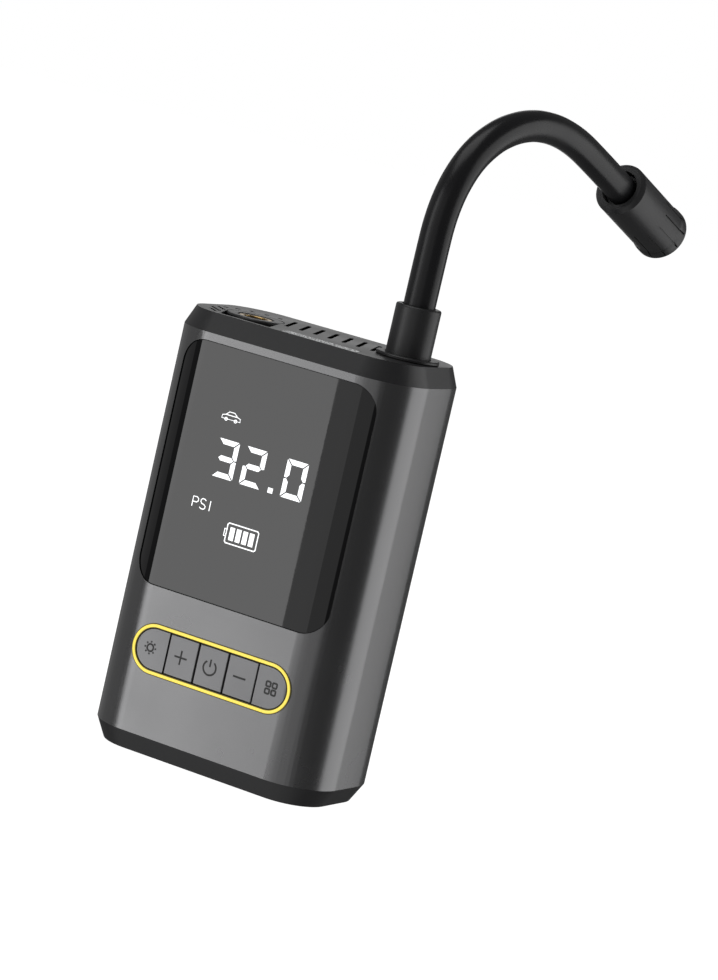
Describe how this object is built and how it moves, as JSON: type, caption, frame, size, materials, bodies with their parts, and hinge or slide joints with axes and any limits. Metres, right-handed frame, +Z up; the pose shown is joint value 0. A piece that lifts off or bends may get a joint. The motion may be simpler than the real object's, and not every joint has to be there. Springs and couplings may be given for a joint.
{
  "type": "portable tire inflator",
  "caption": "Pocket electric tire inflator: flat upright case with a dark display, a yellow-ringed button row and a hose that arches from the top to a screw-on valve chuck.",
  "frame": {"origin": "middle of the case's flat base", "axes": "+Z up along the case, -Y out of the display, +X to the right as the display is read"},
  "size_m": [0.091, 0.1462, 0.206],
  "materials": {
    "case_metal": "satin anodised-look grey",
    "black_plastic": "fine moulded texture",
    "display_black": "polished black panel",
    "ring_yellow": "bright yellow enamel",
    "button_grey": "satin grey",
    "hose_rubber": "semi-gloss black",
    "brass": "machined",
    "steel": "plain",
    "circuit_board": "solder mask",
    "chip_black": "moulded",
    "cell_wrap": "shrink film",
    "tray_plastic": "moulded",
    "gear_nylon": "moulded",
    "pump_alloy": "die cast",
    "seal_rubber": "matt",
    "lens_clear": "frosted ribs"
  },
  "bodies": {
    "case": {"front_shell": "case_metal", "rear_shell": "case_metal", "top_cap": "black_plastic", "bottom_cap": "black_plastic", "base_screws": "steel", "display_glass": "display_black", "front_board": "circuit_board", "front_board_screws": "steel", "digit_block": "chip_black", "button_ring": "ring_yellow", "tact_switches": "chip_black", "battery_cell_1": "cell_wrap", "battery_cell_2": "cell_wrap", "battery_tray": "tray_plastic", "battery_strips": "steel", "motor": "steel", "gear_frame": "steel", "gear_axle": "steel", "pump_cylinder": "pump_alloy", "cylinder_head": "pump_alloy", "valve_disc": "seal_rubber", "pressure_sensor": "steel", "air_tube": "seal_rubber", "main_board": "circuit_board", "main_board_screws": "steel", "charging_port": "steel", "main_board_parts": "chip_black", "storage_socket": "black_plastic", "socket_insert": "brass", "led_lens": "lens_clear", "led_board": "circuit_board", "dust_screen": "steel", "hose_bezel": "black_plastic", "hose_collar": "black_plastic", "hose_stem": "brass", "hose": "hose_rubber", "hose_ferrule": "black_plastic", "chuck_swivel": "brass", "chuck_gasket": "seal_rubber", "valve_depressor": "brass"},
    "light_button": {"light_button": "button_grey"},
    "plus_button": {"plus_button": "button_grey"},
    "power_button": {"power_button": "button_grey"},
    "minus_button": {"minus_button": "button_grey"},
    "mode_button": {"mode_button": "button_grey"},
    "crank": {"crank_gear": "gear_nylon", "crank_pin": "steel"},
    "pinion": {"motor_pinion": "brass", "motor_shaft": "steel"},
    "piston": {"piston_rod": "pump_alloy", "piston_seal": "seal_rubber"},
    "chuck": {"chuck_sleeve": "black_plastic", "chuck_nut": "brass"}
  },
  "joints": [
    {"name": "light_press", "type": "slide", "parent": "case", "child": "light_button", "axis": [0, 1, 0], "range_m": [0, 0.0006], "stiffness_N_per_m": 500},
    {"name": "plus_press", "type": "slide", "parent": "case", "child": "plus_button", "axis": [0, 1, 0], "range_m": [0, 0.0006], "stiffness_N_per_m": 500},
    {"name": "power_press", "type": "slide", "parent": "case", "child": "power_button", "axis": [0, 1, 0], "range_m": [0, 0.0006], "stiffness_N_per_m": 500},
    {"name": "minus_press", "type": "slide", "parent": "case", "child": "minus_button", "axis": [0, 1, 0], "range_m": [0, 0.0006], "stiffness_N_per_m": 500},
    {"name": "mode_press", "type": "slide", "parent": "case", "child": "mode_button", "axis": [0, 1, 0], "range_m": [0, 0.0006], "stiffness_N_per_m": 500},
    {"name": "crank_spin", "type": "hinge", "parent": "case", "child": "crank", "pos_m": [-0.0049, 0.002, 0.088], "axis": [0, 0, 1], "continuous": true},
    {"name": "pinion_spin", "type": "hinge", "parent": "case", "child": "pinion", "pos_m": [-0.023, 0.002, 0.088], "axis": [0, 0, 1], "continuous": true},
    {"name": "piston_slide", "type": "slide", "parent": "case", "child": "piston", "axis": [1, 0, 0], "range_m": [0, 0.01]},
    {"name": "chuck_turn", "type": "hinge", "parent": "case", "child": "chuck", "pos_m": [0.04052, 0.10445, 0.18186], "axis": [0.1134, 0.9239, -0.3655], "continuous": true}
  ],
  "couplings": [
    {"joint": "pinion_spin", "follows": "crank_spin", "ratio": -5}
  ]
}
